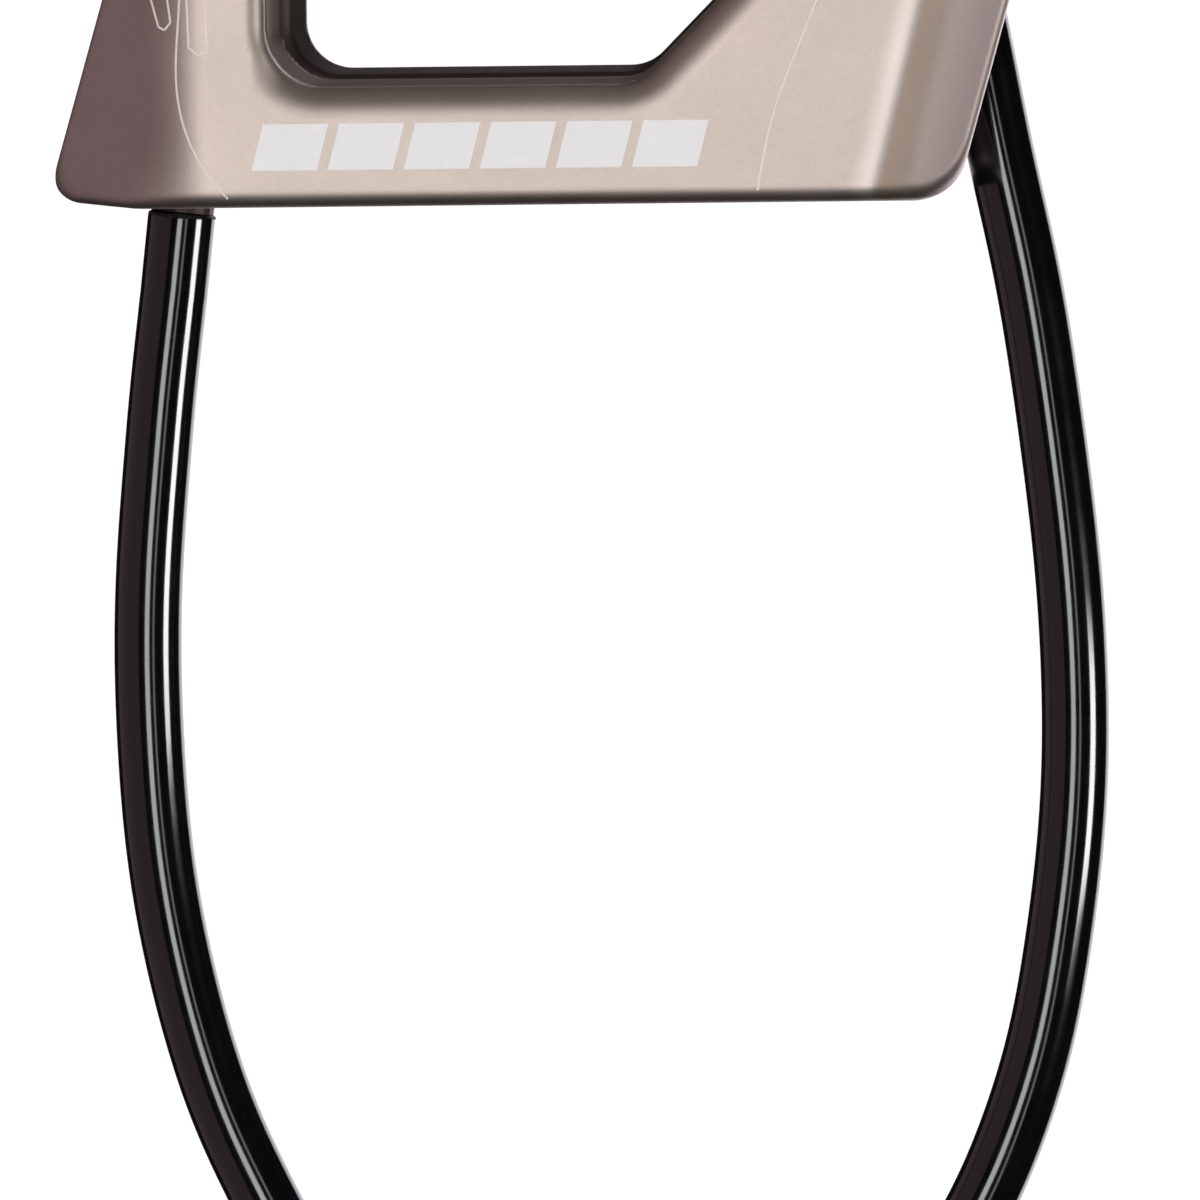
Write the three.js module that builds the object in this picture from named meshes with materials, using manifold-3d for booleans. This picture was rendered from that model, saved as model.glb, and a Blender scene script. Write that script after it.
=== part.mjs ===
// A two-slot tubular belay device: one forged aluminium body and the sheathed wire keeper loop that hangs
// from it. Millimetres, +Z up. The origin is the middle of the centre web's bottom face, where the locking
// carabiner bears. +X is the brake side, -X the climber's side, and the front wall faces -Y.
import * as THREE from 'three';
import { mergeVertices } from 'three/addons/utils/BufferGeometryUtils.js';
import Module from 'manifold-3d';

const wasm = await Module();
wasm.setup();

// ---- driving dimensions -------------------------------------------------------------------------
const BODY_DEPTH = 38;            // front face to back face
const WEB_THICKNESS = 7;          // centre web between the two rope slots
const WALL_THICKNESS = 3.3;       // front and back walls
const BODY_TOP = 34;              // top edge of the front and back walls
const BOTTOM_X = [-31.15, 29.9];  // where the ends' slopes meet the bottom, before its corners are rounded
const CLIMBER_LEAN = 0.288;       // how far the climber's end leans in, per mm of height
const BRAKE_LEAN = 0.283;         // how far the brake end leans out, per mm of height
const BOTTOM_FILLET = 2.2;
const BOTTOM_CORNER = [1.4, 3.8]; // at the climber's end and at the brake end
const HEEL = [-24.8, 0.68];       // the climber's end rises off the bottom from this X, by this much
const CLIMBER_CREASE_X = -22.3;   // where the front face turns into the climber's side facet
const FACET_DEPTH = 7.4;          // how far back that facet runs
const BRAKE_CREASE_X = 24.3;      // the same crease on the brake side, at the bottom
const BRAKE_CREASE_LEAN = 0.251;
const BRAKE_FACET_SLOPE = 0.36;   // how far the brake side's facets run back, per mm of length
const SLOT_END_X = [-26.4, 24.6]; // the rope slots' ends at the bottom
const SLOT_CORNER = 4.5;
// The window's corners, [x, z, radius].
const WINDOW = [[-13.3, 9.3, 2.8], [9.67, 9.3, 2], [20.2, 20.05, 3], [20.2, 27.6, 2.6], [-13.3, 27.6, 3]];
const WINDOW_LIP = 2.2;           // the bevel round each window, on the outer faces
const SADDLE_END_X = -12;         // the saddles and the V grooves end inside the rope slots
const GROOVE_START_X = 24;
const SADDLE_Z = 25.5;            // the climber's end wall is cut down to here for the rope
const GROOVE_Y = 8.3;             // the middle of each V groove in the brake end
const GROOVE_Z = [20.5, 38];      // the bottom of a V groove and its top
const GROOVE_HALF_WIDTH = [1.6, 4.1]; // at the same two heights

const CABLE_RADIUS = 2.3;         // over the plastic sheath
const CORE_RADIUS = 1.2;          // the steel wire rope
const FERRULE_RADIUS = 2.1;
const FERRULE_LENGTH = 8;
const FERRULE_PROUD = 0.3;        // how far a ferrule stands out of its bore
const GAP = 0.3;                  // between pieces that touch on the real thing
const HINGE_REACH = 7;            // from a bore's mouth to the point where the cable is taken to flex
const FLEX_ANGLE = THREE.MathUtils.degToRad(38);

// Where each end of the cable comes out of the body, and the way it leaves, in the XZ plane.
const CLIMBER_ROOT = { mouth: [-21.75, 0], way: [-0.11, -1] };
const BRAKE_ROOT = { mouth: [30.5, 16.8], way: [0.198, -1] };

// The keeper loop's centreline between the two flex points, [x, z], from the climber's side round to the
// brake side.
const LOOP_ROUTE = [
  [-22.9, -9.8], [-23.6, -16.7], [-24.2, -23.7], [-24.4, -30.7], [-24.2, -37.2], [-23.7, -43.5],
  [-22.6, -50.1], [-21.2, -55.8], [-19.4, -61.2], [-17.1, -66.1], [-15, -70.2], [-12.6, -74],
  [-9.6, -77.5], [-6.2, -80.5], [-2.3, -83], [2, -84.6], [6.6, -85.2], [11.1, -84.8], [15.4, -83.5],
  [19.5, -81.3], [23.1, -78.3], [26.2, -75], [28.9, -71.1], [31.4, -66.8], [33.5, -61.8], [35.2, -56.4],
  [36.3, -50.7], [37.2, -44.4], [37.7, -37.9], [37.7, -30.9], [37.3, -23.9], [36.6, -17.4],
  [35.7, -10.4], [34.6, -3.7], [33.2, 2.7],
];
const CABLE_STEPS = 64;

// ---- helpers ------------------------------------------------------------------------------------
// A closed outline from [x, y, corner radius] points.
function roundedOutline(corners) {
  const shape = new THREE.Shape();
  const at = (i) => new THREE.Vector2(...corners[(i + corners.length) % corners.length].slice(0, 2));
  corners.forEach(([, , radius = 0], i) => {
    const corner = at(i);
    const back = at(i - 1).sub(corner).normalize();
    const ahead = at(i + 1).sub(corner).normalize();
    const reach = radius / Math.tan(Math.acos(back.dot(ahead)) / 2);
    const start = corner.clone().addScaledVector(back, reach);
    const end = corner.clone().addScaledVector(ahead, reach);
    if (i === 0) shape.moveTo(start.x, start.y);
    else shape.lineTo(start.x, start.y);
    if (radius > 0) shape.quadraticCurveTo(corner.x, corner.y, end.x, end.y);
  });
  shape.closePath();
  return shape;
}

// A three.js geometry as a manifold-3d solid.
function solid(geometry) {
  geometry.deleteAttribute('normal');
  geometry.deleteAttribute('uv');
  const merged = mergeVertices(geometry, 1e-4);
  return new wasm.Manifold(new wasm.Mesh({
    numProp: 3,
    vertProperties: new Float32Array(merged.attributes.position.array),
    triVerts: new Uint32Array(merged.index.array),
  }));
}

// A manifold-3d solid as a three.js geometry.
function geometryOf(manifold) {
  const mesh = manifold.getMesh();
  const geometry = new THREE.BufferGeometry();
  geometry.setAttribute('position', new THREE.BufferAttribute(new Float32Array(mesh.vertProperties), 3));
  geometry.setIndex(new THREE.BufferAttribute(new Uint32Array(mesh.triVerts), 1));
  return geometry;
}

function extrude(corners, depth, options = {}) {
  const settings = { depth, bevelEnabled: false, curveSegments: 5, ...options };
  return new THREE.ExtrudeGeometry(roundedOutline(corners), settings);
}

// Prisms whose outlines lie in the XZ, XY and YZ planes.
function prismXZ(corners, yLow, yHigh, options) {
  const geometry = extrude(corners, yHigh - yLow, options);
  geometry.rotateX(Math.PI / 2);
  geometry.translate(0, yHigh, 0);
  return solid(geometry);
}

function prismXY(corners, zLow, zHigh) {
  const geometry = extrude(corners, zHigh - zLow);
  geometry.translate(0, 0, zLow);
  return solid(geometry);
}

function prismYZ(corners, xLow, xHigh) {
  const geometry = extrude(corners, xHigh - xLow);
  const turn = new THREE.Matrix4().makeBasis(
    new THREE.Vector3(0, 1, 0), new THREE.Vector3(0, 0, 1), new THREE.Vector3(1, 0, 0),
  );
  geometry.applyMatrix4(turn);
  geometry.translate(xLow, 0, 0);
  return solid(geometry);
}

// An outline's mirror image: u or v is -1 to turn round that axis of the outline.
function mirrored(corners, u, v) {
  return corners.map(([a, b, radius]) => [u * a, v * b, radius]).reverse();
}

function outwards({ way: [x, z] }) {
  return new THREE.Vector3(x, 0, z).normalize();
}

// The point on a cable end's line, `reach` mm out of the bore's mouth.
function onRoot(root, reach) {
  const [x, z] = root.mouth;
  return new THREE.Vector3(x, 0, z).addScaledVector(outwards(root), reach);
}

// A profile of [radius, reach] points turned about a cable end's line.
function turnedOnRoot(root, profile, segments = 20) {
  const points = profile.map(([radius, reach]) => new THREE.Vector2(radius, reach));
  const geometry = new THREE.LatheGeometry(points, segments);
  const up = new THREE.Vector3(0, 1, 0);
  geometry.applyQuaternion(new THREE.Quaternion().setFromUnitVectors(up, outwards(root)));
  geometry.translate(...onRoot(root, 0));
  return geometry;
}

// A rod of regular section swept along a curve, as an extrusion.
function rodAlong(curve, radius, sides, steps) {
  const section = new THREE.Shape();
  for (let i = 0; i < sides; i += 1) {
    const angle = (2 * Math.PI * i) / sides;
    const point = [radius * Math.cos(angle), radius * Math.sin(angle)];
    if (i === 0) section.moveTo(...point);
    else section.lineTo(...point);
  }
  section.closePath();
  return solid(new THREE.ExtrudeGeometry(section, { steps, extrudePath: curve, curveSegments: 1 }));
}

// ---- the forged body ----------------------------------------------------------------------------
const SLOT_SIDES = [WEB_THICKNESS / 2, BODY_DEPTH / 2 - WALL_THICKNESS];
const PAST = 10; // how far a cutter runs past the body
const FAR = 60;  // beyond the body on every side

// The three outlines whose common solid is the forging before it is cut.
function forgingBlank() {
  const half = BODY_DEPTH / 2;
  const [heelX, heelRise] = HEEL;
  const side = [
    [BOTTOM_X[0] + CLIMBER_LEAN * heelRise, heelRise, BOTTOM_CORNER[0]], [heelX, 0, 8],
    [BOTTOM_X[1], 0, BOTTOM_CORNER[1]], [BOTTOM_X[1] + BRAKE_LEAN * 19, 19, 14],
    [41, 32, 2.5], [38, 38, 2.5], [22, BODY_TOP, 9],
    [BOTTOM_X[0] + CLIMBER_LEAN * BODY_TOP, BODY_TOP, 3.5],
  ];
  const facetEnd = half - FACET_DEPTH;
  const plan = [
    [CLIMBER_CREASE_X, -half, 2], [FAR, -half], [FAR, half], [CLIMBER_CREASE_X, half, 2],
    [BOTTOM_X[0], facetEnd, 2], [-FAR, facetEnd - 4], [-FAR, 4 - facetEnd], [BOTTOM_X[0], -facetEnd, 2],
  ];
  const end = [
    [-half, 0, BOTTOM_FILLET], [half, 0, BOTTOM_FILLET], [half, FAR], [-half, FAR],
  ];
  let blank = prismXZ(side, -half, half);
  blank = blank.intersect(prismXY(plan, -PAST, FAR)).intersect(prismYZ(end, -FAR, FAR));
  for (const sign of [-1, 1]) {
    const far = half - BRAKE_FACET_SLOPE * (FAR - BRAKE_CREASE_X);
    const corners = [[BRAKE_CREASE_X, half], [FAR, far], [FAR, half + PAST], [BRAKE_CREASE_X, half + PAST]];
    const wedge = extrude(sign > 0 ? corners : mirrored(corners, 1, -1), 80);
    wedge.translate(0, 0, -PAST);
    wedge.applyMatrix4(new THREE.Matrix4().makeShear(0, 0, 0, 0, BRAKE_CREASE_LEAN, 0));
    blank = blank.subtract(solid(wedge));
  }
  return blank;
}

// A rope slot runs right through from top to bottom, and its ends lean with the body's.
function ropeSlot(sign) {
  const [low, high] = SLOT_SIDES;
  const top = BODY_TOP + 12;
  const corners = [
    [SLOT_END_X[0] - CLIMBER_LEAN * PAST, -PAST], [SLOT_END_X[1] - BRAKE_LEAN * PAST, -PAST],
    [SLOT_END_X[1] + BRAKE_LEAN * top, top], [SLOT_END_X[0] + CLIMBER_LEAN * top, top],
  ];
  const rounding = {
    bevelEnabled: true, bevelSize: SLOT_CORNER, bevelThickness: SLOT_CORNER,
    bevelOffset: -SLOT_CORNER, bevelSegments: 4,
  };
  const [yLow, yHigh] = sign > 0 ? [low, high] : [-high, -low];
  return prismXZ(corners, yLow + SLOT_CORNER, yHigh - SLOT_CORNER, rounding);
}

// The lightening window goes through both walls and the web. Its outer edges are bevelled.
function windowCutters() {
  const half = BODY_DEPTH / 2;
  const through = prismXZ(WINDOW, -half - PAST, half + PAST);
  const bevel = { bevelEnabled: true, bevelSize: WINDOW_LIP, bevelThickness: WINDOW_LIP, bevelSegments: 2 };
  const lips = [-1, 1].map((sign) => {
    const face = sign * half;
    const ends = [face - sign * WINDOW_LIP, face + sign * PAST].sort((a, b) => a - b);
    return prismXZ(WINDOW, ends[0] + WINDOW_LIP, ends[1] - WINDOW_LIP, bevel);
  });
  return [through, ...lips];
}

// The climber's end is cut down in two saddles and the brake end in two V grooves.
function ropeEndCutters() {
  const [low, high] = SLOT_SIDES;
  const saddle = [[low, SADDLE_Z, 4], [high, SADDLE_Z, 4], [high, FAR], [low, FAR]];
  const [narrow, wide] = GROOVE_HALF_WIDTH;
  const [bottom, top] = GROOVE_Z;
  const groove = [
    [GROOVE_Y - narrow, bottom, 1], [GROOVE_Y + narrow, bottom, 1],
    [GROOVE_Y + wide, top], [GROOVE_Y + wide, FAR], [GROOVE_Y - wide, FAR], [GROOVE_Y - wide, top],
  ];
  return [saddle, mirrored(saddle, -1, 1)].map((outline) => prismYZ(outline, -FAR, SADDLE_END_X))
    .concat([groove, mirrored(groove, -1, 1)].map((outline) => prismYZ(outline, GROOVE_START_X, FAR)));
}

// The brake end is notched in the middle, so that the cable can swing from the bore above the notch.
function keeperNotch() {
  const top = BRAKE_ROOT.mouth[1];
  const hingeZ = onRoot(BRAKE_ROOT, HINGE_REACH).z;
  const clear = CABLE_RADIUS + 0.8;
  const inner = BRAKE_ROOT.mouth[0] - clear;
  const slope = BRAKE_ROOT.way[0];
  const low = -1;
  const swing = clear + (hingeZ - low) * Math.tan(FLEX_ANGLE);
  const sideOn = [[inner, top], [inner + slope * (top - low), low], [FAR, low], [FAR, top]];
  const endOn = [
    [-clear, top], [-clear, hingeZ], [-swing, low], [swing, low], [clear, hingeZ], [clear, top],
  ];
  return prismXZ(sideOn, -swing, swing).intersect(prismYZ(endOn, 0, FAR));
}

// A blind bore for a ferrule.
function ferruleBore(root) {
  const radius = FERRULE_RADIUS + GAP;
  const depth = FERRULE_LENGTH - FERRULE_PROUD + GAP;
  return solid(turnedOnRoot(root, [[0, -depth], [radius, -depth], [radius, 3], [0, 3]]));
}

function makeBody() {
  const cutters = [
    ropeSlot(-1), ropeSlot(1), ...windowCutters(), ...ropeEndCutters(), keeperNotch(),
    ferruleBore(CLIMBER_ROOT), ferruleBore(BRAKE_ROOT),
  ];
  return cutters.reduce((body, cutter) => body.subtract(cutter), forgingBlank());
}

// ---- the keeper cable ---------------------------------------------------------------------------
const STUB_END = HINGE_REACH - CABLE_RADIUS - 0.4; // the fixed cable stub stops short of the flexing part

// A blind crimped ferrule, open towards the cable.
function makeFerrule(root) {
  const inner = FERRULE_PROUD - FERRULE_LENGTH;
  const hole = CORE_RADIUS + GAP;
  return turnedOnRoot(root, [
    [0, inner], [FERRULE_RADIUS - 0.4, inner], [FERRULE_RADIUS, inner + 0.4],
    [FERRULE_RADIUS, FERRULE_PROUD], [hole, FERRULE_PROUD], [hole, inner + 1], [0, inner + 1],
  ]);
}

function makeSheathStub(root) {
  const start = FERRULE_PROUD + GAP;
  const hole = CORE_RADIUS + GAP;
  return turnedOnRoot(root, [
    [hole, start], [CABLE_RADIUS - 0.3, start], [CABLE_RADIUS, start + 0.3],
    [CABLE_RADIUS, STUB_END], [hole, STUB_END], [hole, start],
  ]);
}

function makeCoreStub(root) {
  const inner = FERRULE_PROUD - FERRULE_LENGTH + 1 + GAP;
  return turnedOnRoot(root, [[0, inner], [CORE_RADIUS, inner], [CORE_RADIUS, STUB_END], [0, STUB_END]], 12);
}

// The loop's centreline, run on `beyond` mm past each flex point.
function loopCurve(beyond) {
  const route = LOOP_ROUTE.map(([x, z]) => new THREE.Vector3(x, 0, z));
  const start = [HINGE_REACH - beyond, HINGE_REACH].map((reach) => onRoot(CLIMBER_ROOT, reach));
  const end = [HINGE_REACH, HINGE_REACH - beyond].map((reach) => onRoot(BRAKE_ROOT, reach));
  return new THREE.CatmullRomCurve3([...start, ...route, ...end], false, 'centripetal');
}

// The sheath's ends are balls about the flex points, so that the loop can swing past the fixed stubs.
function makeLoopSheath() {
  let sheath = rodAlong(loopCurve(0.5), CABLE_RADIUS, 12, CABLE_STEPS);
  for (const root of [CLIMBER_ROOT, BRAKE_ROOT]) {
    const ball = new THREE.SphereGeometry(CABLE_RADIUS, 16, 10);
    ball.translate(...onRoot(root, HINGE_REACH));
    sheath = sheath.add(solid(ball));
  }
  return sheath.subtract(rodAlong(loopCurve(4), CORE_RADIUS + GAP, 8, CABLE_STEPS));
}

function makeLoopCore() {
  return rodAlong(loopCurve(1.6), CORE_RADIUS, 8, CABLE_STEPS);
}

// ---- the assembly -------------------------------------------------------------------------------
const anodised = new THREE.MeshStandardMaterial({ color: 0xbfa698, roughness: 0.4, metalness: 1 });
const blackPlastic = new THREE.MeshStandardMaterial({ color: 0x17161a, roughness: 0.2, metalness: 0 });
const wireRope = new THREE.MeshStandardMaterial({ color: 0x9a9da1, roughness: 0.35, metalness: 1 });
const crimpedSteel = new THREE.MeshStandardMaterial({ color: 0x8d8a86, roughness: 0.3, metalness: 1 });

const belayDevice = new THREE.Group();
function add(name, geometry, material) {
  const mesh = new THREE.Mesh(geometry, material);
  mesh.name = name;
  belayDevice.add(mesh);
}

add('body', geometryOf(makeBody()), anodised);
for (const [side, root] of [['climber_side', CLIMBER_ROOT], ['brake_side', BRAKE_ROOT]]) {
  add(`ferrule_${side}`, makeFerrule(root), crimpedSteel);
  add(`sheath_root_${side}`, makeSheathStub(root), blackPlastic);
  add(`core_root_${side}`, makeCoreStub(root), wireRope);
}
add('keeper_sheath', geometryOf(makeLoopSheath()), blackPlastic);
add('keeper_core', geometryOf(makeLoopCore()), wireRope);

export default belayDevice;
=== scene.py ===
"""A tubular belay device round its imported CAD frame: a forged, satin-anodised body and a black keeper loop.

Lengths below are in millimetres in the part's own frame, and are turned into metres where a mesh is made.
"""
import math

import bpy
import numpy as np
from mathutils import Matrix, Vector


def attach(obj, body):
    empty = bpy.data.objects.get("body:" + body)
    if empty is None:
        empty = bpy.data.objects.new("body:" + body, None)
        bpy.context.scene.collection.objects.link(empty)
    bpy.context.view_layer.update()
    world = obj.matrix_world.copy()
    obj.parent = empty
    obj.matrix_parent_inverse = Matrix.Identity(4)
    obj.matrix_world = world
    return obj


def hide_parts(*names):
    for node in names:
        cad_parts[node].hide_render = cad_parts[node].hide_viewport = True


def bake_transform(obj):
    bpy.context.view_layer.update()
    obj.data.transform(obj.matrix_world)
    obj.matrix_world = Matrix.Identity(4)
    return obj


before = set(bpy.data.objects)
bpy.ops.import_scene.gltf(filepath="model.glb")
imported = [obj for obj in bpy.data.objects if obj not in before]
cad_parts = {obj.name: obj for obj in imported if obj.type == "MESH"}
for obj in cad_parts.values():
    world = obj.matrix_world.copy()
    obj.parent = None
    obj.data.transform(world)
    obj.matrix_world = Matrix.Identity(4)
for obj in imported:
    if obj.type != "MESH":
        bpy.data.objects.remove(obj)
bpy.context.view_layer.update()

MM = 0.001

# ---- camera -------------------------------------------------------------------------------------
VIEW_CENTRE = (5.91, 0.0, -26.54)  # what the middle of the picture looks at
VIEW_DISTANCE = 3200.0
VIEW_HEIGHT = 0.0  # the camera stands level with the underside of the body
VIEW_WIDTH = 80.43  # how much of the object's own plane the picture is wide
CAMERA_ROLL = math.radians(0.62)  # the device hangs a little askew
SENSOR = 36.0


def make_camera():
    data = bpy.data.cameras.new("camera")
    data.sensor_width = SENSOR
    data.lens = SENSOR * VIEW_DISTANCE / VIEW_WIDTH
    data.clip_start, data.clip_end = 0.1, 20.0
    camera = bpy.data.objects.new("camera", data)
    bpy.context.scene.collection.objects.link(camera)
    centre = Vector(VIEW_CENTRE) * MM
    camera.location = Vector((VIEW_CENTRE[0], -VIEW_DISTANCE, VIEW_HEIGHT)) * MM
    aim = (centre - camera.location).to_track_quat("-Z", "Y").to_matrix().to_4x4()
    camera.rotation_euler = (aim @ Matrix.Rotation(-CAMERA_ROLL, 4, "Z")).to_euler()
    bpy.context.scene.camera = camera


# ---- signed distances ---------------------------------------------------------------------------
def both(a, b, radius=0.0, cosine=0.0):
    """What the solids a and b have in common, with the edge between them rounded.

    cosine is that of the angle between the directions that a and b face where they meet.
    """
    near_a, near_b = a + radius, b + radius
    on_edge = (near_a > cosine * near_b) & (near_b > cosine * near_a)
    squared = near_a**2 + near_b**2 - 2 * cosine * near_a * near_b
    corner = np.sqrt(np.maximum(squared, 0) / (1 - np.square(cosine))) - radius
    return np.where(on_edge, corner, np.maximum(a, b))


def either(a, b, radius, cosine=0.0):
    """a and b joined, with a fillet where they meet."""
    return -both(-a, -b, radius, cosine)


def without(a, b, radius=0.0):
    """a with b cut out, and the cut's edge rounded."""
    return both(a, -b, radius)


def half_plane(u, v, point, direction):
    """Distance from the line through point along direction; the solid is on the line's left."""
    du, dv = direction
    return ((u - point[0]) * dv - (v - point[1]) * du) / math.hypot(du, dv)


def between(a, b):
    """The cosine of the angle between two directions."""
    return (a[0] * b[0] + a[1] * b[1]) / math.hypot(*a) / math.hypot(*b)


def ramp(value):
    """0 below 0 and 1 above 1, eased between."""
    t = np.clip(value, 0.0, 1.0)
    return t * t * (3 - 2 * t)


# ---- the body's shape ---------------------------------------------------------------------------
HALF_DEPTH = 19.0
HALF_WEB = 3.5
SLOT_HALF_WIDTH = 6.1
SLOT_Y = HALF_WEB + SLOT_HALF_WIDTH
WALL_Y = HALF_WEB + 2 * SLOT_HALF_WIDTH  # a side wall's inner face
TOP_Z = 34.0
# The side profile's edges, each a point [x, z] and a direction, anticlockwise.
BOTTOM = ((0.0, 0.0), (1.0, 0.0))
BRAKE_END = ((29.9, 0.0), (0.283, 1.0))
FLARE = ((35.2, 19.5), (0.46, 1.0))
HORN_TIP = ((41.0, 31.5), (-3.0, 6.5))
HORN_TOP = ((38.0, 38.0), (-16.0, -4.0))
TOP = ((0.0, TOP_Z), (-1.0, 0.0))
CLIMBER_END = ((-31.15, 0.0), (-0.288, -1.0))
HEEL = ((-24.8, 0.0), (6.2, -0.72))
CLIMBER_ROOT = ((-21.75, 0.0), (-0.11, -1.0))  # the keeper's bores: mouth and way out, in XZ
BRAKE_ROOT = ((30.5, 16.8), (0.198, -1.0))
CABLE_RADIUS = 2.3
FERRULE_RADIUS = 2.1
# How far the side profile's corners are rounded.
HEEL_ROUND = 8.0
CLIMBER_CORNER = 2.1
BRAKE_CORNER = 3.7
BRAKE_SWEEP = 25.0  # where the brake end turns out into the horn
HORN_SWEEP = 14.0  # where the top rises into the horn
CLIMBER_TOP_CORNER = 3.5
HORN_CORNER = 2.6


def side_profile(x, z):
    """The body's outline from the side, with the climber's end on the left and the horn on the right."""

    def meet(join, a, b, radius):
        return join(half_plane(x, z, *a), half_plane(x, z, *b), radius, between(a[1], b[1]))

    climber_end = half_plane(x, z, *CLIMBER_END)
    foot = meet(both, BOTTOM, HEEL, HEEL_ROUND)
    foot = both(foot, climber_end, CLIMBER_CORNER, between(HEEL[1], CLIMBER_END[1]))
    brake = meet(either, BRAKE_END, FLARE, BRAKE_SWEEP)
    outline = both(foot, brake, BRAKE_CORNER, between(BOTTOM[1], BRAKE_END[1]))
    crown = meet(either, TOP, HORN_TOP, HORN_SWEEP)
    crown = both(crown, climber_end, CLIMBER_TOP_CORNER, between(TOP[1], CLIMBER_END[1]))
    crown = both(crown, half_plane(x, z, *HORN_TIP), HORN_CORNER, between(HORN_TOP[1], HORN_TIP[1]))
    return both(outline, crown, HORN_CORNER, between(FLARE[1], HORN_TIP[1]))


def ramp_area(value):
    """The area under ramp(), from 0 to value."""
    t = np.clip(value, 0.0, 1.0)
    return t**3 - t**4 / 2 + np.maximum(value - 1.0, 0.0)


FACET_TURN = math.radians(40)  # how far the climber's facet is turned from the front face
FACET_CREASE_X = -22.1
FACET_FLARE = 1.1  # how far the facet's crease runs out towards the climber's end near the bottom
FACET_LOW_Z = 6.0  # below this height the crease runs out and softens
FACET_SOFTNESS = (6.2, 5.2)  # the crease's radius, and how much it grows by the bottom
COVE_CREASE = ((23.77, 0.0), (0.251, 1.0))
# The brake end falls away past that crease: where each stretch starts, how long it eases in, and its slope.
COVE_STEPS = ((-0.2, 1.1, 0.2), (1.5, 1.8, 0.15))


def outer_faces(x, y, z):
    """The front and back, with a soft facet at the climber's end and a fall at the brake end."""
    low = np.clip((FACET_LOW_Z - z) / FACET_LOW_Z, 0.0, 1.2)
    crease = FACET_CREASE_X - FACET_FLARE * low**2
    facet = (crease - x) * math.sin(FACET_TURN) + (y - HALF_DEPTH) * math.cos(FACET_TURN)
    softness = FACET_SOFTNESS[0] + FACET_SOFTNESS[1] * low**1.5
    past = x - COVE_CREASE[0][0] - COVE_CREASE[1][0] * z
    slope, face = 0.0, y - HALF_DEPTH
    for start, length, change in COVE_STEPS:
        slope = slope + change * ramp((past - start) / length)
        face = face + change * length * ramp_area((past - start) / length)
    return both(face / np.sqrt(1 + slope**2), facet, softness, math.cos(FACET_TURN))


# The window at its narrowest: its four sides, its corners' radii and the line that cuts one corner off.
WINDOW_X = (-13.30, 20.2)
WINDOW_Z = (9.32, 27.6)
WINDOW_SLANT = ((13.55, 13.26), (0.98, 1.0))
WINDOW_LEFT_CORNER = 3.15
WINDOW_SLANT_CORNERS = (3.0, 2.5)
WINDOW_TOP_CORNER = 2.6
# How much wider it is at each step outwards, on the left, the right, and at the bottom and top alike.
GROWTH_LEFT, GROWTH_RIGHT, GROWTH_Z, GROWTH_SLANT = 1.35, 0.7, 0.65, 0.15
GROWTH_CORNER = 0.42
WEB_CHAMFER = 1.6
WALL_CHAMFER = 1.35
RIM_Y = WALL_Y + WALL_CHAMFER
INNER_EDGE = 0.45
STEEPNESS = 0.8  # a field that changes faster than distance, as on a chamfer, is scaled down by this


def window_outline(x, z, grown):
    """The window: a box with one corner cut off at a slant. It grows towards the outside in two steps."""
    left, right = WINDOW_X[0] - GROWTH_LEFT * grown, WINDOW_X[1] + GROWTH_RIGHT * grown
    bottom, top = WINDOW_Z[0] - GROWTH_Z * grown, WINDOW_Z[1] + GROWTH_Z * grown
    slant = half_plane(x, z, *WINDOW_SLANT) - GROWTH_SLANT * grown
    shape = both(left - x, bottom - z, WINDOW_LEFT_CORNER + GROWTH_CORNER * grown)
    shape = both(shape, slant, WINDOW_SLANT_CORNERS[0], between(WINDOW_SLANT[1], (1, 0)))
    shape = both(shape, x - right, WINDOW_SLANT_CORNERS[1], between(WINDOW_SLANT[1], (0, 1)))
    return both(shape, z - top, WINDOW_TOP_CORNER)


def window(x, y, z):
    """The window through the walls and the web, chamfered outwards in each."""
    in_web = np.clip((y - HALF_WEB + WEB_CHAMFER) / WEB_CHAMFER, 0.0, 1.0)
    in_wall = np.clip((y - WALL_Y) / WALL_CHAMFER, 0.0, 1.0)
    return window_outline(x, z, in_web + in_wall) * STEEPNESS


RIM_RADIUS = 1.1
RIM_EXTRA = 0.85  # how much softer the rim is along the bottom and the slant


def window_rim(x, z):
    """The radius of the window's outer edge, which is softest along the bottom and the slant."""
    slanted = ramp((half_plane(x, z, *WINDOW_SLANT) + 3.0) / 2.0)
    return RIM_RADIUS + RIM_EXTRA * np.maximum(ramp((10.5 - z) / 3.0), slanted)


END_WALLS = (4.4, 5.0)  # how thick the end walls are, at the climber's end and the brake end
SLOT_CORNER = 4.5


def rope_slot(x, y, z):
    """A rope slot, straight through from top to bottom between the two end walls."""
    sides = np.abs(y - SLOT_Y) - SLOT_HALF_WIDTH
    (climber_x, _), climber_way = CLIMBER_END
    (brake_x, _), brake_way = BRAKE_END
    slot = both(sides, half_plane(x, z, (climber_x + END_WALLS[0], 0), climber_way), SLOT_CORNER)
    return both(slot, half_plane(x, z, (brake_x - END_WALLS[1], 0), brake_way), SLOT_CORNER)


SADDLE_Z = 25.5
SADDLE_CORNER = 4.0
SADDLE_END_X = -10.0  # inside the slot, well past the end wall
SADDLE_SOFT_X = -16.0  # the saddle's edge is softer from here out to the climber's end


def saddle(x, y, z):
    """The climber's end wall is cut down for the rope."""
    sides = np.abs(y - SLOT_Y) - SLOT_HALF_WIDTH
    return both(both(sides, SADDLE_Z - z, SADDLE_CORNER), x - SADDLE_END_X)


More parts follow.
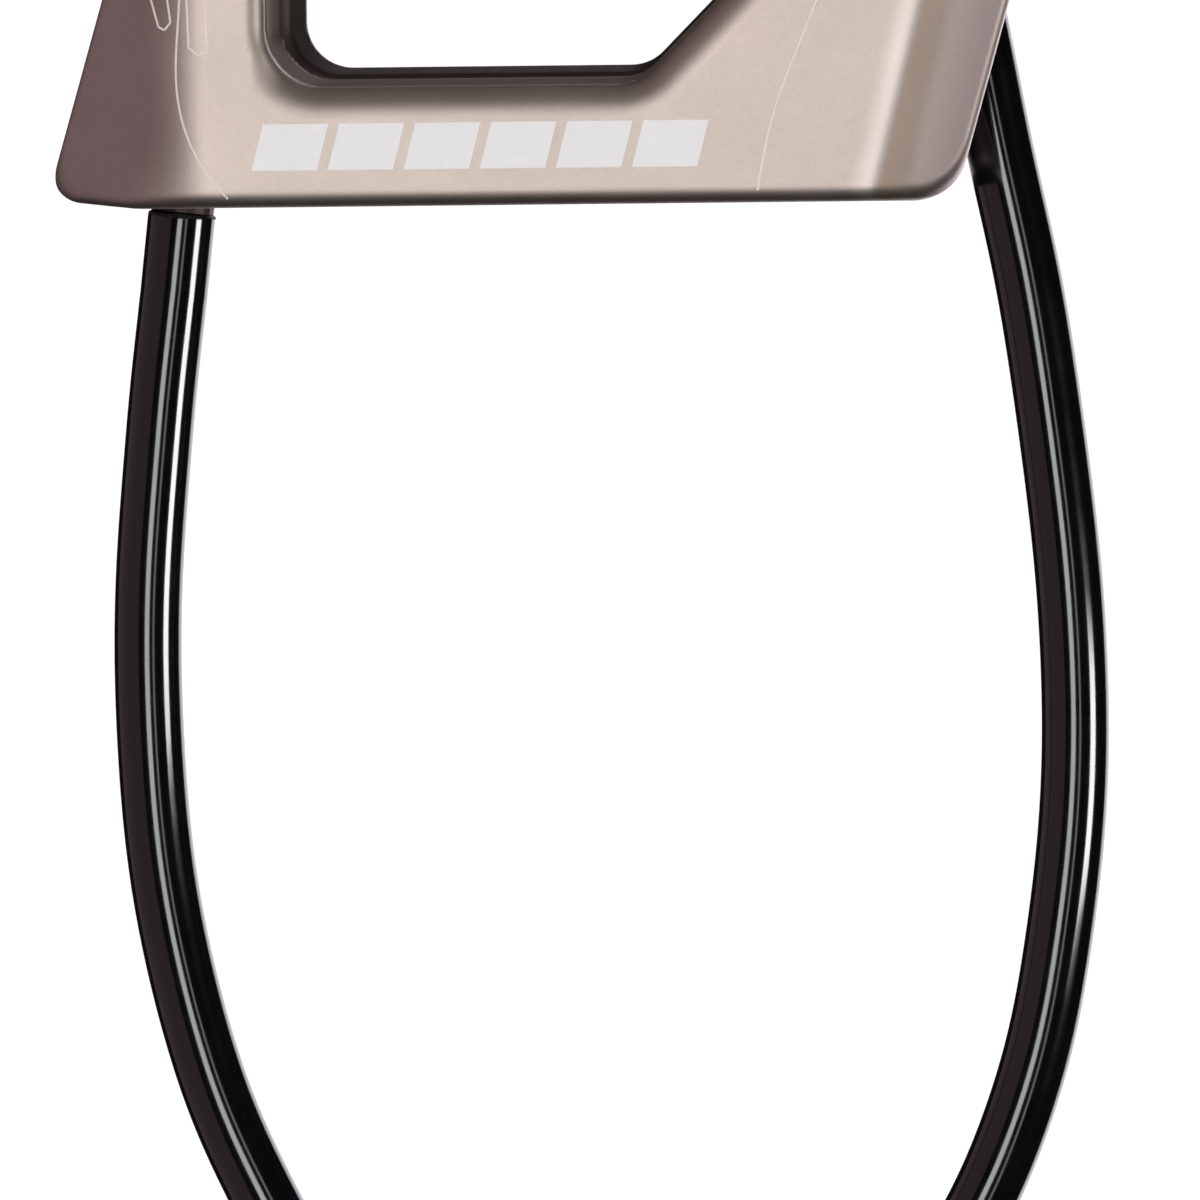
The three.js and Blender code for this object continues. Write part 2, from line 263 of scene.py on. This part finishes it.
GROOVE_Y = 8.3
GROOVE_Z = 20.5  # the groove's bottom
GROOVE_X = 24.0  # it starts inside the slot
GROOVE_HALF_WIDTH = 1.6  # at the bottom
GROOVE_SPREAD = 0.143  # how fast it widens upwards
GROOVE_CORNER = 1.2
RIB_HEIGHT = 0.28
RIB_PITCH = 1.8
RIB_LEAN = 0.3
GROOVE_STEEPNESS = 1.01  # how much faster than distance the sloping sides' field changes


def brake_groove(x, y, z):
    """A V groove with friction ribs down its sides, through the brake end wall."""
    ribs = RIB_HEIGHT * np.cos((x - RIB_LEAN * z) * 2 * math.pi / RIB_PITCH)
    width = GROOVE_HALF_WIDTH + GROOVE_SPREAD * (z - GROOVE_Z) + ribs * ramp((z - 21) / 3)
    sides = (np.abs(y - GROOVE_Y) - width) / GROOVE_STEEPNESS
    return both(both(sides, GROOVE_Z - z, GROOVE_CORNER), GROOVE_X - x)


SWING = math.radians(38)  # how far the keeper flexes to each side
NOTCH_ROOM = 0.8  # the gap round the cable
NOTCH_SPREAD_DROP = 6.8  # how far below the bore's mouth the notch begins to spread


def keeper_notch(x, y, z):
    """The room that the cable swings in, below its bore in the brake end."""
    (mouth_x, mouth_z), (lean, _) = BRAKE_ROOT
    clear = CABLE_RADIUS + NOTCH_ROOM
    inner = -half_plane(x, z, (mouth_x - clear, mouth_z), (-lean, 1))
    spread = clear + np.maximum(mouth_z - NOTCH_SPREAD_DROP - z, 0.0) * math.tan(SWING)
    return both(both(inner, z - mouth_z, 1.0), (y - spread) * STEEPNESS, 1.2)


BORE_DEPTH = 8.0
BORE_ROOM = 0.12  # the gap round a ferrule, and the radius of a bore's edge


def bore(x, y, z, root):
    """A blind bore for one end of the keeper."""
    (mouth_x, mouth_z), way = root
    way = np.array(way) / math.hypot(*way)
    reach = (x - mouth_x) * way[0] + (z - mouth_z) * way[1]
    off = (x - mouth_x) * way[1] - (z - mouth_z) * way[0]
    return both(np.sqrt(off**2 + y**2) - FERRULE_RADIUS - BORE_ROOM, -reach - BORE_DEPTH)


OUTER_EDGE = (0.9, 0.3)  # the outer edges' radius, and how much it grows underneath
# The cosines between the front face and the ends where they meet, at the facet and at the cove.
CLIMBER_LEAN, BRAKE_LEAN = 0.617, 0.42
SLOT_EDGE = 1.1
SADDLE_EXTRA = 0.9  # how much softer the saddle's edge is than the slot's
GROOVE_EDGE = 0.6
NOTCH_EDGE = 0.5


def body_field(x, y, z):
    """The body's signed distance. The back is the front's mirror image."""
    y = np.abs(y)
    underneath = ramp((4.5 - z) / 3.5)
    at_climber, at_brake = ramp((-20.0 - x) / 5.0), ramp((x - 24.0) / 4.0)
    edge = OUTER_EDGE[0] + OUTER_EDGE[1] * underneath
    lean = (CLIMBER_LEAN * at_climber + BRAKE_LEAN * at_brake) * (1 - underneath)
    window_edge = np.where(y > RIM_Y, window_rim(x, z), INNER_EDGE)
    saddle_edge = SLOT_EDGE + SADDLE_EXTRA * ramp((SADDLE_SOFT_X - x) / 5.0)
    solid = both(outer_faces(x, y, z), side_profile(x, z), edge, lean)
    solid = without(solid, rope_slot(x, y, z), SLOT_EDGE)
    solid = without(solid, window(x, y, z), window_edge)
    solid = without(solid, saddle(x, y, z), saddle_edge)
    solid = without(solid, brake_groove(x, y, z), GROOVE_EDGE)
    solid = without(solid, keeper_notch(x, y, z), NOTCH_EDGE)
    for root in (CLIMBER_ROOT, BRAKE_ROOT):
        solid = without(solid, bore(x, y, z, root), BORE_ROOM)
    return solid


# ---- from a field to a mesh ---------------------------------------------------------------------
def surface_net(field, low, high, step):
    """The zero surface of a field as quads, one vertex in each cell that it crosses, and its normals."""
    axes = [np.arange(a, b, step) for a, b in zip(low, high)]
    inside = field(*np.meshgrid(*axes, indexing="ij")) < 0
    filled = sum(
        inside[i : i - 1 or None, j : j - 1 or None, k : k - 1 or None].astype(np.int8)
        for i in (0, 1) for j in (0, 1) for k in (0, 1)
    )
    crossed = (filled > 0) & (filled < 8)
    number = np.full(crossed.shape, -1)
    number[crossed] = np.arange(crossed.sum())
    points = (np.argwhere(crossed) + 0.5) * step + np.array(low)
    quads = []
    for axis in range(3):
        ahead, ids = np.moveaxis(inside, axis, 0), np.moveaxis(number, axis, 0)
        a, b, c = np.nonzero((ahead[1:] != ahead[:-1])[:, 1:-1, 1:-1])
        b, c = b + 1, c + 1
        quads.append(np.stack([ids[a, b - 1, c - 1], ids[a, b, c - 1], ids[a, b, c], ids[a, b - 1, c]], 1))
    quads = np.concatenate(quads)
    points = settle(field, points, step)
    for _ in range(2):
        points = settle(field, relaxed(points, quads), step)
    normals = gradient(field, points, 0.02)
    normals /= np.linalg.norm(normals, axis=1)[:, None]
    facing = np.cross(points[quads[:, 2]] - points[quads[:, 0]], points[quads[:, 3]] - points[quads[:, 1]])
    inwards = (facing * normals[quads].sum(1)).sum(1) < 0
    quads[inwards] = quads[inwards, ::-1]
    return points, quads, normals


def relaxed(points, quads):
    """Each vertex moved halfway to the middle of its neighbours."""
    start, end = quads.ravel(), np.roll(quads, -1, axis=1).ravel()
    count = np.bincount(start, minlength=len(points)) + np.bincount(end, minlength=len(points))
    total = [
        np.bincount(start, points[end, i], len(points)) + np.bincount(end, points[start, i], len(points))
        for i in range(3)
    ]
    return (points + np.stack(total, 1) / count[:, None]) / 2


def gradient(field, points, step):
    """The field's slope at points, by central differences."""
    moves = np.eye(3) * step
    return np.stack([(field(*(points + m).T) - field(*(points - m).T)) / (2 * step) for m in moves], 1)


def settle(field, points, step, rounds=5):
    """Moves points onto the field's zero surface, each by no more than about its cell."""
    start = points
    for _ in range(rounds):
        slope = gradient(field, points, 0.05)
        size = np.maximum((slope**2).sum(1), 0.1)
        points = points - (field(*points.T) / size)[:, None] * slope
        points = start + np.clip(points - start, -0.9 * step, 0.9 * step)
    return points


def mesh_object(name, points_mm, faces, smooth=True):
    mesh = bpy.data.meshes.new(name)
    mesh.from_pydata((np.asarray(points_mm) * MM).tolist(), [], [tuple(map(int, f)) for f in faces])
    mesh.update()
    if smooth:
        mesh.shade_smooth()
    piece = bpy.data.objects.new(name, mesh)
    bpy.context.scene.collection.objects.link(piece)
    return piece


BODY_STEP = 0.3


def make_body(material):
    low, high = (-32.5, -20.4, -1.5), (43.0, 20.5, 40.0)
    points, quads, normals = surface_net(body_field, low, high, BODY_STEP)
    body = mesh_object("forged_body", points, quads)
    body.data.normals_split_custom_set_from_vertices(normals.tolist())
    body.data.materials.append(material)
    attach(body, "device")
    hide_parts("body")


# ---- the keeper cable ---------------------------------------------------------------------------
# The loop's centreline between its two flex points, [x, z], from the climber's side round to the brake side.
LOOP_ROUTE = [
    (-22.9, -9.8), (-23.6, -16.7), (-24.2, -23.7), (-24.4, -30.7), (-24.2, -37.2), (-23.7, -43.5),
    (-22.6, -50.1), (-21.2, -55.8), (-19.4, -61.2), (-17.1, -66.1), (-15, -70.2), (-12.6, -74),
    (-9.6, -77.5), (-6.2, -80.5), (-2.3, -83), (2, -84.6), (6.6, -85.2), (11.1, -84.8), (15.4, -83.5),
    (19.5, -81.3), (23.1, -78.3), (26.2, -75), (28.9, -71.1), (31.4, -66.8), (33.5, -61.8), (35.2, -56.4),
    (36.3, -50.7), (37.2, -44.4), (37.7, -37.9), (37.7, -30.9), (37.3, -23.9), (36.6, -17.4),
    (35.7, -10.4), (34.6, -3.7), (33.2, 2.7),
]
FLEX_REACH = 7.0
SHEATH_START = 0.25  # the sheath is cut square this far out of each bore
CABLE_STEP = 0.5
CALM_REACH = 8  # how many points to each side are averaged in when the line is smoothed
CALM_ENDS = 12  # how many points at each end stay as they are
SHEATH_SIDES = 40
SHEATH_HOLE = 1.45
HOLE_DEPTH = 2.0
LIP = 0.3  # the radius of the sheath's cut ends


def on_root(root, reach):
    """The point reach out of a bore's mouth."""
    (x, z), way = root
    size = math.hypot(*way)
    return (x + way[0] / size * reach, z + way[1] / size * reach)


def cable_line():
    """Evenly spaced points along the sheath's centreline, smoothed so that it bends evenly."""
    ends = (SHEATH_START, 2.5, 5.0, FLEX_REACH)
    route = [on_root(CLIMBER_ROOT, r) for r in ends] + LOOP_ROUTE
    route += [on_root(BRAKE_ROOT, r) for r in reversed(ends)]
    route = np.array(route, float)
    chord = np.concatenate([[0], np.cumsum(np.linalg.norm(np.diff(route, axis=0), axis=1))])
    even = np.linspace(0, chord[-1], int(chord[-1] / CABLE_STEP))
    line = np.stack([cubic_through(chord, route[:, i], even) for i in range(2)], axis=1)
    weights = np.exp(-np.linspace(-2, 2, 2 * CALM_REACH + 1) ** 2)
    weights /= weights.sum()
    for _ in range(3):
        padded = np.pad(line, ((CALM_REACH, CALM_REACH), (0, 0)), mode="reflect", reflect_type="odd")
        calm = np.stack([np.convolve(padded[:, i], weights, "valid") for i in range(2)], axis=1)
        calm[:CALM_ENDS], calm[-CALM_ENDS:] = line[:CALM_ENDS], line[-CALM_ENDS:]
        line = calm
    return np.stack([line[:, 0], np.zeros(len(line)), line[:, 1]], axis=1)


def cubic_through(knots, values, at):
    """A natural cubic spline."""
    n = len(knots)
    h = np.diff(knots)
    system = np.eye(n)
    right = np.zeros(n)
    for i in range(1, n - 1):
        system[i, i - 1 : i + 2] = h[i - 1], 2 * (h[i - 1] + h[i]), h[i]
        right[i] = 6 * ((values[i + 1] - values[i]) / h[i] - (values[i] - values[i - 1]) / h[i - 1])
    bend = np.linalg.solve(system, right)
    i = np.clip(np.searchsorted(knots, at) - 1, 0, n - 2)
    a, b = knots[i + 1] - at, at - knots[i]
    return (
        bend[i] * a**3 / (6 * h[i]) + bend[i + 1] * b**3 / (6 * h[i])
        + (values[i] / h[i] - bend[i] * h[i] / 6) * a
        + (values[i + 1] / h[i] - bend[i + 1] * h[i] / 6) * b
    )


def sheath_tube(name, line, radius):
    """A tube along a line in the XZ plane, with rounded lips and a blind hole in each end."""
    sides = SHEATH_SIDES
    along = np.gradient(line, axis=0)
    along /= np.linalg.norm(along, axis=1)[:, None]
    across = np.stack([along[:, 2], np.zeros(len(line)), -along[:, 0]], axis=1)
    angles = np.arange(sides) * 2 * math.pi / sides
    around = np.stack([np.cos(angles), np.sin(angles)], axis=1)

    def ring(i, inwards, size):
        """A ring square to the line at its i-th point, moved in from that end."""
        middle = line[i] + along[i] * (inwards if i == 0 else -inwards)
        return middle + size * (around[:, :1] * across[i] + around[:, 1:] * np.array([0.0, 1.0, 0.0]))

    turns = np.linspace(0, math.pi / 2, 5)
    ends = []
    for i in (0, -1):
        rings = [ring(i, HOLE_DEPTH, SHEATH_HOLE), ring(i, 0.0, SHEATH_HOLE)]
        rings += [ring(i, LIP * (1 - math.cos(t)), radius - LIP * (1 - math.sin(t))) for t in turns]
        ends.append(rings)
    skip = int(LIP / CABLE_STEP) + 1
    rings = ends[0] + [ring(i, 0.0, radius) for i in range(skip, len(line) - skip)] + ends[1][::-1]
    points = np.concatenate(rings)
    faces = []
    for i in range(len(rings) - 1):
        for k in range(sides):
            m = (k + 1) % sides
            faces.append([i * sides + k, i * sides + m, (i + 1) * sides + m, (i + 1) * sides + k])
    last = (len(rings) - 1) * sides
    faces += [list(range(sides))[::-1], [last + k for k in range(sides)]]
    return mesh_object(name, points, faces)


def make_sheath(material):
    line = cable_line()
    sheath = sheath_tube("keeper_loop_sheath", line, CABLE_RADIUS)
    sheath.data.materials.append(material)
    return sheath, line


# ---- the laser-marked guide lines and the printed band -------------------------------------------
MARK_HALF_WIDTH = 0.07
MARK_LIFT = 0.012  # a mark's height above the face
# Rope lines as open lines of [x, z] points, each drawn as a smooth curve, and a plain figure's corners.
ROPE_LINES = (
    ((-21.6, 16.2), (-21.75, 13.0), (-21.95, 8.2), (-21.2, 4.6), (-19.9, 2.2), (-18.6, 0.6)),
    ((23.4, 21.0), (22.2, 17.2), (20.8, 13.5), (19.1, 9.4), (17.9, 6.2), (17.1, 3.0), (16.7, 0.8)),
)
FIGURE_CORNERS = (
    ((-24.2, 16.2), (-23.1, 12.1), (-22.7, 11.9), (-22.3, 12.4), (-22.8, 16.2)),
    ((-21.3, 16.2), (-21.1, 10.7), (-20.5, 10.2), (-19.9, 10.4), (-20.1, 16.2)),
    ((-24.2, 16.2), (-23.8, 21.2), (-20.4, 21.2), (-20.1, 16.2), (-24.2, 16.2)),
)
HEAD = ((-22.1, 22.9), 1.2)
MARK_STEP = 0.35
BAND_X = (-16.6, 13.1)  # the printed band is a plain row of slanting bars
BAND_Z = (2.45, 5.55)
BAR_COUNT = 6
BAR_ROWS = 6  # how many quads a bar is made of, so that it follows the face
BAR_GAP = 0.72
BAR_SLANT = 0.8


def ribbon(lines, half_width):
    """Flat strips along open lines on the front face, as one object."""
    points, faces = [], []
    for line in lines:
        line = np.array(line, float)
        chord = np.concatenate([[0], np.cumsum(np.linalg.norm(np.diff(line, axis=0), axis=1))])
        even = np.linspace(0, chord[-1], max(4, int(chord[-1] / MARK_STEP)))
        smooth = np.stack([cubic_through(chord, line[:, i], even) for i in range(2)], axis=1)
        along = np.gradient(smooth, axis=0)
        along /= np.linalg.norm(along, axis=1)[:, None]
        side = np.stack([-along[:, 1], along[:, 0]], axis=1) * half_width
        first = len(points)
        for middle, out in zip(smooth, side):
            points += [tuple(middle + out), tuple(middle - out)]
        faces += [(i, i + 1, i + 3, i + 2) for i in range(first, len(points) - 2, 2)]
    return points, faces


def figure_lines():
    """The strokes of a plain standing figure: a round head, two legs and a body."""
    (x, z), radius = HEAD
    turns = np.linspace(0, 2 * math.pi, 25)
    head = np.stack([x + radius * np.cos(turns), z + radius * np.sin(turns)], axis=1)
    strokes = [np.array([a, b]) for corners in FIGURE_CORNERS for a, b in zip(corners, corners[1:])]
    return [head, *strokes]


def on_front(points):
    """The points [x, z] set just above the front face, which the facet and the fillet curve away from."""
    flat = np.array(points, float)
    y = np.full(len(flat), -HALF_DEPTH)
    for _ in range(12):
        y = y + body_field(flat[:, 0], y, flat[:, 1])
    return np.stack([flat[:, 0], y - MARK_LIFT, flat[:, 1]], axis=1)


def make_marks(name, points, faces, material):
    """Flat marks laid on the front face, which ride on the body."""
    marks = mesh_object(name, on_front(points), faces)
    marks.data.materials.append(material)
    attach(marks, "device")


def printed_band():
    """Slanting bars side by side."""
    pitch = (BAND_X[1] - BAND_X[0] + BAR_GAP) / BAR_COUNT
    points, faces = [], []
    for i in range(BAR_COUNT):
        left = BAND_X[0] + i * pitch
        right = left + pitch - BAR_GAP
        first = len(points)
        for k in range(BAR_ROWS + 1):
            z = BAND_Z[0] + (BAND_Z[1] - BAND_Z[0]) * k / BAR_ROWS
            lean = BAR_SLANT * (k / BAR_ROWS - 0.5)
            points += [(left + lean, z), (right + lean, z)]
        faces += [(m, m + 1, m + 3, m + 2) for m in range(first, len(points) - 2, 2)]
    return points, faces


# ---- materials ----------------------------------------------------------------------------------
def new_material(name):
    material = bpy.data.materials.new(name)
    material.use_nodes = True
    nodes, links = material.node_tree.nodes, material.node_tree.links
    return material, nodes, links, nodes["Principled BSDF"]


def noise(nodes, links, place, scale, detail=2.0):
    """A noise fixed to the object, from 0 to 1."""
    node = nodes.new("ShaderNodeTexNoise")
    node.inputs["Scale"].default_value = scale
    node.inputs["Detail"].default_value = detail
    links.new(place.outputs["Object"], node.inputs["Vector"])
    return node.outputs["Fac"]


def tones(nodes, links, factor, dark, light):
    """A colour that varies from dark to light with factor."""
    node = nodes.new("ShaderNodeMix")
    node.data_type = "RGBA"
    node.inputs["A"].default_value = (*dark, 1)
    node.inputs["B"].default_value = (*light, 1)
    links.new(factor, node.inputs["Factor"])
    return node.outputs["Result"]


def vary_roughness(nodes, links, shader, factor, low, high):
    node = nodes.new("ShaderNodeMapRange")
    node.inputs["To Min"].default_value = low
    node.inputs["To Max"].default_value = high
    links.new(factor, node.inputs["Value"])
    links.new(node.outputs["Result"], shader.inputs["Roughness"])


def eased(nodes, links, value, start, end):
    """0 where value is at start, 1 where it is at end, in millimetres, eased between."""
    node = nodes.new("ShaderNodeMapRange")
    node.interpolation_type = "SMOOTHSTEP"
    node.inputs["From Min"].default_value = start * MM
    node.inputs["From Max"].default_value = end * MM
    links.new(value, node.inputs["Value"])
    return node.outputs["Result"]


def arithmetic(nodes, links, operation, *terms):
    """The result of a Math node, each of whose terms is a number or another node's output."""
    node = nodes.new("ShaderNodeMath")
    node.operation = operation
    for socket, term in zip(node.inputs, terms):
        if isinstance(term, (int, float)):
            socket.default_value = term
        else:
            links.new(term, socket)
    return node.outputs[0]


def tinted(nodes, links, colour, tint, amount):
    node = nodes.new("ShaderNodeMix")
    node.data_type = "RGBA"
    node.inputs["B"].default_value = (*tint, 1)
    links.new(colour, node.inputs["A"])
    links.new(amount, node.inputs["Factor"])
    return node.outputs["Result"]


# Tints painted onto the body by place: painted shade inside the slots, on the window's ledge, in the keeper
# notch, at the brake end and in the cove's valley, and a painted highlight along the cove's crease.
INSIDE_SHADE_TONE = (0.085, 0.066, 0.06)
BRAKE_END_SHADE_TONE = (0.277, 0.222, 0.224)
VALLEY_SHADE_TONE = (0.358, 0.26, 0.198)
CREASE_HIGHLIGHT_TONE = (0.49, 0.43, 0.40)
BRAKE_END_SHADE_AMOUNT = 0.8
VALLEY_SHADE_AMOUNT = 0.6
LEDGE_SHADE_AMOUNT = 0.9


def painted_shade_and_highlight(nodes, links, place, colour):
    """Painted shade and a painted highlight on the anodising, by place: each product below is 1 in the
    stretch of the body that it names.
    """

    def step(value, start, end):
        return eased(nodes, links, value, start, end)

    def product(*factors):
        result = factors[0]
        for factor in factors[1:]:
            result = arithmetic(nodes, links, "MULTIPLY", result, factor)
        return result

    def larger(a, b):
        return arithmetic(nodes, links, "MAXIMUM", a, b)

    split = nodes.new("ShaderNodeSeparateXYZ")
    links.new(place.outputs["Object"], split.inputs[0])
    x, y, z = split.outputs
    depth = arithmetic(nodes, links, "ABSOLUTE", y)
    end_x, end_lean = BRAKE_END[0][0], BRAKE_END[1][0]
    crease_x, crease_lean = COVE_CREASE[0][0], COVE_CREASE[1][0]
    # into is where a line that leans like the brake end meets the bottom, and past is how far a point
    # lies beyond the cove's crease, both along x.
    into = arithmetic(nodes, links, "SUBTRACT", x, product(z, end_lean))
    crease = arithmetic(nodes, links, "ADD", product(z, crease_lean), crease_x * MM)
    past = arithmetic(nodes, links, "SUBTRACT", x, crease)

    # Painted shade: the walls and web deep inside the slots, the flat of the window's chamfer and the inside
    # of the keeper notch are tinted dark, where the slots' depth shades them.
    inside_shade = product(step(depth, 15.9, 15.1), step(z, 1.5, 4.5), step(x, -19.0, -16.0), step(x, 27.0, 22.0))
    ledge_shade = product(
        step(depth, 17.5, 16.3), step(z, 9.8, 11.5),
        step(x, -4.0, -10.0), step(x, -18.0, -16.5), LEDGE_SHADE_AMOUNT,
    )
    notch_shade = product(
        step(into, end_x - 0.2, end_x - 0.9), step(into, 25.0, 25.6),
        product(step(depth, 11.0, 10.0), step(z, 17.5, 16.5)),
    )
    # Painted shade: the brake end's fall past the cove is tinted darker towards its outer edge; rim leaves
    # that edge itself untinted, so its highlight stays.
    rim = step(into, end_x - 0.15, end_x - 0.6)
    end = product(step(past, 2.4, 6.0), BRAKE_END_SHADE_AMOUNT, rim)
    # Painted shade in the valley just past the cove's crease.
    valley_shade = product(step(past, 0.5, 1.2), step(past, 2.9, 1.6), VALLEY_SHADE_AMOUNT)
    # Painted highlight: a lighter tone along the cove's crease, as if it caught the light.
    ridge_highlight = product(step(past, -1.5, 0.15), step(past, 0.9, 0.15))
    colour = tinted(nodes, links, colour, INSIDE_SHADE_TONE, larger(larger(inside_shade, ledge_shade), notch_shade))
    colour = tinted(nodes, links, colour, BRAKE_END_SHADE_TONE, end)
    colour = tinted(nodes, links, colour, VALLEY_SHADE_TONE, valley_shade)
    return tinted(nodes, links, colour, CREASE_HIGHLIGHT_TONE, ridge_highlight)


GRAIN_SCALE = 6500.0
GRAIN_SHARE = 0.6  # the rest of the colour's variation comes from the broad clouds


def anodised_material():
    """Satin anodised aluminium: fine grain in colour and bump, broad clouds in colour and gloss, and painted
    shade and a painted highlight by place.
    """
    material, nodes, links, shader = new_material("anodised_body")
    shader.inputs["Metallic"].default_value = 1.0
    place = nodes.new("ShaderNodeTexCoord")
    grain = noise(nodes, links, place, GRAIN_SCALE, 3.0)
    cloud = noise(nodes, links, place, 160.0, 4.0)
    clouds = arithmetic(nodes, links, "MULTIPLY", cloud, 1 - GRAIN_SHARE)
    factor = arithmetic(nodes, links, "MULTIPLY_ADD", grain, GRAIN_SHARE, clouds)
    colour = tones(nodes, links, factor, (0.3, 0.251, 0.223), (0.44, 0.377, 0.338))
    links.new(painted_shade_and_highlight(nodes, links, place, colour), shader.inputs["Base Color"])
    vary_roughness(nodes, links, shader, cloud, 0.44, 0.54)
    bump = nodes.new("ShaderNodeBump")
    bump.inputs["Strength"].default_value = 0.3
    bump.inputs["Distance"].default_value = 0.00002
    links.new(grain, bump.inputs["Height"])
    links.new(bump.outputs["Normal"], shader.inputs["Normal"])
    return material


def sheath_material():
    """Glossy black plastic, slightly uneven in tone and gloss."""
    material, nodes, links, shader = new_material("black_sheath")
    shader.inputs["IOR"].default_value = 1.56
    place = nodes.new("ShaderNodeTexCoord")
    cloud = noise(nodes, links, place, 400.0, 3.0)
    tone = tones(nodes, links, cloud, (0.0012, 0.0012, 0.0014), (0.0026, 0.0024, 0.003))
    links.new(tone, shader.inputs["Base Color"])
    vary_roughness(nodes, links, shader, cloud, 0.07, 0.15)
    return material


def steel_material(name, tone, roughness):
    material, nodes, links, shader = new_material(name)
    shader.inputs["Metallic"].default_value = 1.0
    place = nodes.new("ShaderNodeTexCoord")
    cloud = noise(nodes, links, place, 900.0)
    shade = tones(nodes, links, cloud, [0.8 * c for c in tone], tone)
    links.new(shade, shader.inputs["Base Color"])
    vary_roughness(nodes, links, shader, cloud, roughness, roughness + 0.12)
    return material


def mark_material(name, tone, roughness):
    material, nodes, links, shader = new_material(name)
    place = nodes.new("ShaderNodeTexCoord")
    cloud = noise(nodes, links, place, 1800.0)
    shade = tones(nodes, links, cloud, [0.9 * c for c in tone], tone)
    links.new(shade, shader.inputs["Base Color"])
    shader.inputs["Roughness"].default_value = roughness
    return material


# ---- studio -------------------------------------------------------------------------------------
BACKDROP = 1.05
ROOM = 0.015
LIT_CENTRE = Vector((4, 0, -10)) * MM
# Each soft box's name, azimuth, elevation, distance, width, height, radiance and colour.
SOFT_BOXES = (
    ("key", -7, 0, 1.0, 0.25, 1.2, 7.4, (1, 1, 1)),
    ("strip", 15, 0, 1.4, 0.13, 2.0, 2.6, (1, 1, 1)),
    ("left_wall", -80, 0, 1.2, 2.4, 2.5, 0.37, (1, 0.7, 0.83)),
    ("ceiling", 0, 90, 1.2, 2.0, 2.0, 0.24, (1, 0.85, 0.9)),
    ("right_lamp", 60, -4.3, 1.2, 0.38, 0.2, 20.0, (1, 1, 1)),
    ("right_rear", 150, 0, 1.2, 1.2, 2.0, 3.2, (0.95, 0.91, 1)),
)
FLOOR_Z = -120.0
FLOOR_HALF = 380.0
FLOOR_TONE = 0.85
FLOOR_GLOW = 0.42  # keeps the floor pale in every view


def make_world():
    """White behind the object as the camera sees it, and a dark room round it to reflect."""
    world = bpy.data.worlds.new("studio")
    bpy.context.scene.world = world
    world.use_nodes = True
    nodes, links = world.node_tree.nodes, world.node_tree.links
    nodes.clear()
    output = nodes.new("ShaderNodeOutputWorld")
    seen = nodes.new("ShaderNodeBackground")
    seen.inputs["Color"].default_value = (1, 1, 1, 1)
    seen.inputs["Strength"].default_value = BACKDROP
    room = nodes.new("ShaderNodeBackground")
    room.inputs["Color"].default_value = (1, 1, 1, 1)
    room.inputs["Strength"].default_value = ROOM
    path = nodes.new("ShaderNodeLightPath")
    mix = nodes.new("ShaderNodeMixShader")
    links.new(path.outputs["Is Camera Ray"], mix.inputs["Fac"])
    links.new(room.outputs[0], mix.inputs[1])
    links.new(seen.outputs[0], mix.inputs[2])
    links.new(mix.outputs[0], output.inputs["Surface"])


def soft_box(name, azimuth, elevation, distance, width, height, radiance, colour):
    """A panel that faces the device. Azimuth is from the camera's side, towards +X; sizes in metres."""
    data = bpy.data.lights.new(name, "AREA")
    data.shape = "RECTANGLE"
    data.size, data.size_y = width, height
    data.energy = radiance * math.pi * width * height
    data.color = colour
    light = bpy.data.objects.new(name, data)
    bpy.context.scene.collection.objects.link(light)
    light.visible_camera = False
    a, e = math.radians(azimuth), math.radians(elevation)
    way = Vector((math.sin(a) * math.cos(e), -math.cos(a) * math.cos(e), math.sin(e)))
    light.location = LIT_CENTRE + way * distance
    light.rotation_mode = "QUATERNION"
    light.rotation_quaternion = way.to_track_quat("Z", "Y")


def make_floor():
    material, _, _, shader = new_material("studio_floor")
    shader.inputs["Base Color"].default_value = (FLOOR_TONE, FLOOR_TONE, FLOOR_TONE, 1)
    shader.inputs["Roughness"].default_value = 0.7
    shader.inputs["Emission Color"].default_value = (1, 1, 1, 1)
    shader.inputs["Emission Strength"].default_value = FLOOR_GLOW
    points = [(x * FLOOR_HALF, y * FLOOR_HALF, FLOOR_Z) for x, y in ((-1, -1), (1, -1), (1, 1), (-1, 1))]
    floor = mesh_object("floor", points, [(0, 1, 2, 3)], smooth=False)
    floor.data.materials.append(material)
    floor.visible_glossy = False
    floor.visible_shadow = False


# ---- the scene ----------------------------------------------------------------------------------
def add_keeper():
    """The sheath as one cord from bore to bore."""
    sheath, sheath_line = make_sheath(sheath_material())
    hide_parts("keeper_sheath", "sheath_root_climber_side", "sheath_root_brake_side")
    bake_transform(sheath)


def finish_steel():
    """Materials for the CAD's own cores and ferrules, which stay."""
    wire = steel_material("wire_rope", (0.5, 0.5, 0.52), 0.3)
    # The ferrules' dark brown tone is painted shade: it stands in for the body's tan in shadow where each
    # sheath meets its bore.
    crimp_in_shade = steel_material("crimped_steel", (0.06, 0.045, 0.04), 0.45)
    for name, material in (
        ("core_root_climber_side", wire), ("core_root_brake_side", wire), ("keeper_core", wire),
        ("ferrule_climber_side", crimp_in_shade), ("ferrule_brake_side", crimp_in_shade),
    ):
        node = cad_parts[name]
        node.data.materials.clear()
        node.data.materials.append(material)


def add_marks():
    engraved = mark_material("laser_mark", (0.64, 0.56, 0.52), 0.6)
    printed = mark_material("white_print", (0.66, 0.655, 0.66), 0.5)
    make_marks("laser_rope_lines", *ribbon(ROPE_LINES, MARK_HALF_WIDTH), engraved)
    make_marks("laser_figure", *ribbon(figure_lines(), MARK_HALF_WIDTH), engraved)
    make_marks("printed_band", *printed_band(), printed)


bpy.context.scene.view_settings.view_transform = "Standard"
make_camera()
add_keeper()
finish_steel()
make_body(anodised_material())
add_marks()
make_world()
for box in SOFT_BOXES:
    soft_box(*box)
make_floor()
